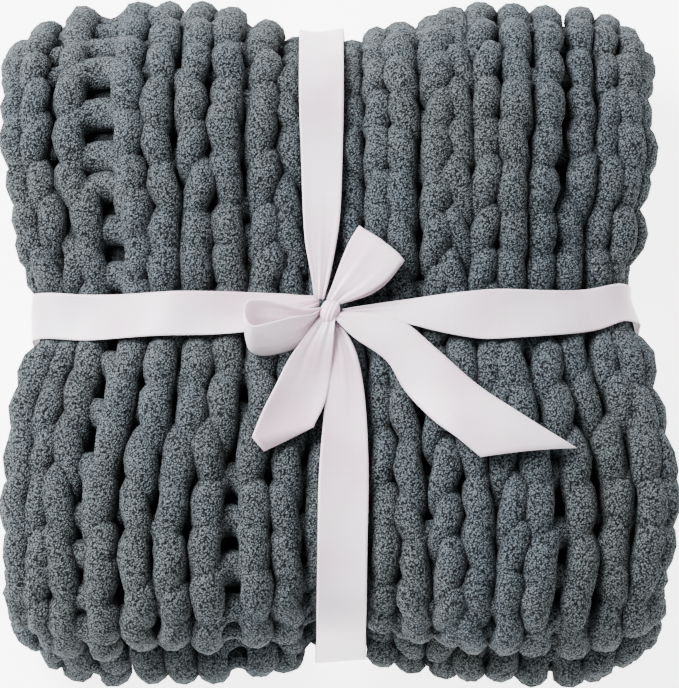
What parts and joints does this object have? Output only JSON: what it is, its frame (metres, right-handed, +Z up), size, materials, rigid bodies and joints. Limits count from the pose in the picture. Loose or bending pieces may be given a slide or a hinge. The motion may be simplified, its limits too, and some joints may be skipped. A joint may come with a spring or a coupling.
{
  "type": "chunky knit blanket, folded and tied with ribbon",
  "caption": "Thick chenille knit blanket folded to a square pillow-like bundle and tied crosswise with a satin ribbon and a bow.",
  "frame": {"origin": "bottom centre of the folded bundle, on the surface it lies on", "axes": "+Z up, out of the face with the bow; +Y along the knit's ribs towards the big fold; +X to the right when the big fold is at the top"},
  "size_m": [0.5049, 0.512, 0.1964],
  "materials": {
    "knit": "matte chenille pile, slate blue-grey",
    "satin": "soft satin, warm white"
  },
  "bodies": {
    "root": {"blanket": "knit", "ribbon_lengthwise": "satin", "ribbon_across": "satin", "ribbon_knot": "satin", "ribbon_loop_left": "satin", "ribbon_loop_right": "satin", "ribbon_tail_left": "satin", "ribbon_tail_right": "satin"}
  },
  "joints": []
}
